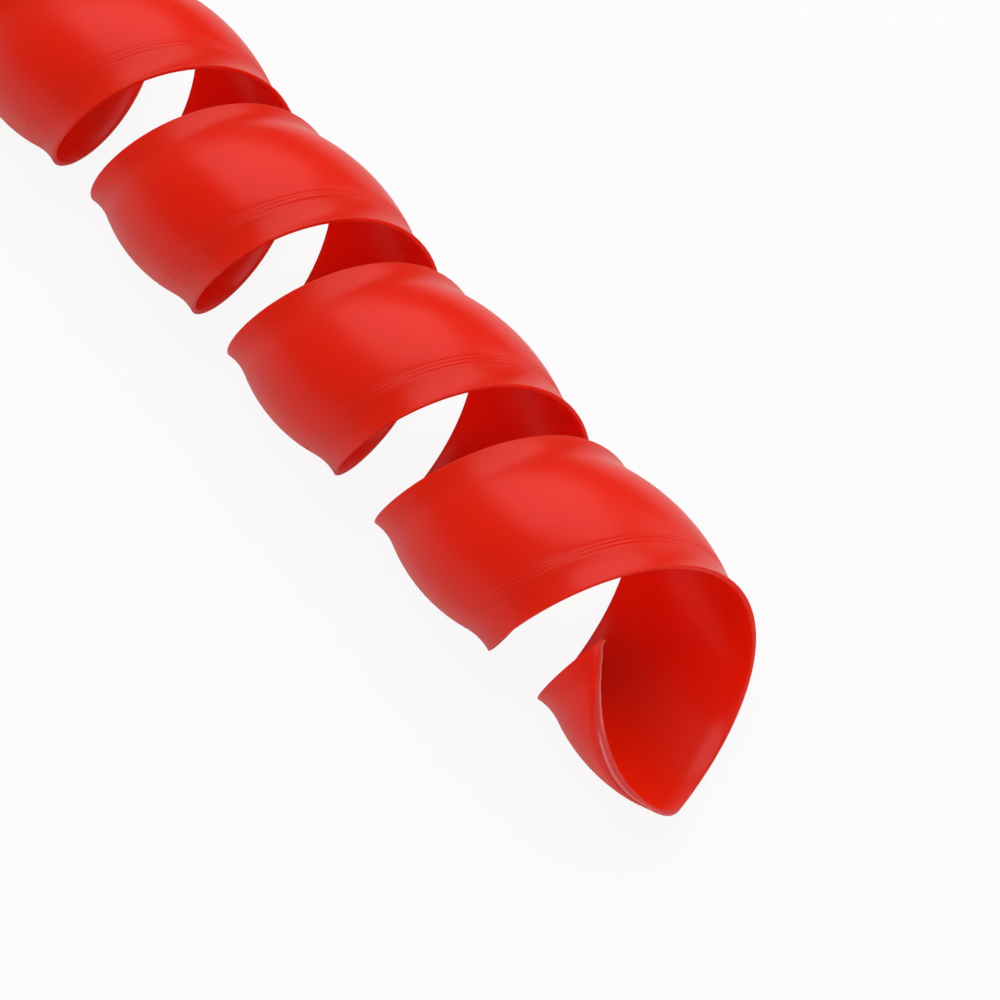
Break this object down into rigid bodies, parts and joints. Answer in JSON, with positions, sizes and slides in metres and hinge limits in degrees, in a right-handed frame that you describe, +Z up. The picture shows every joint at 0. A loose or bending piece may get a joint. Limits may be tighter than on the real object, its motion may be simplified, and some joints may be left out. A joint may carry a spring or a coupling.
{
  "type": "spiral hose guard",
  "caption": "Spiral hose guard: a crowned plastic strip wound into an open left-handed coil that slips over a hose and shields it from rubbing.",
  "frame": {"origin": "on the axis of the coil, at mid length", "axes": "+X along the axis of the coil, +Z up with the guard lying on its side; half a turn about Z brings the guard back onto itself"},
  "size_m": [0.19, 0.02, 0.02],
  "materials": {
    "strip_plastic": "satin, extruded, bright red all through"
  },
  "bodies": {
    "root": {"spiral_guard": "strip_plastic"}
  },
  "joints": []
}
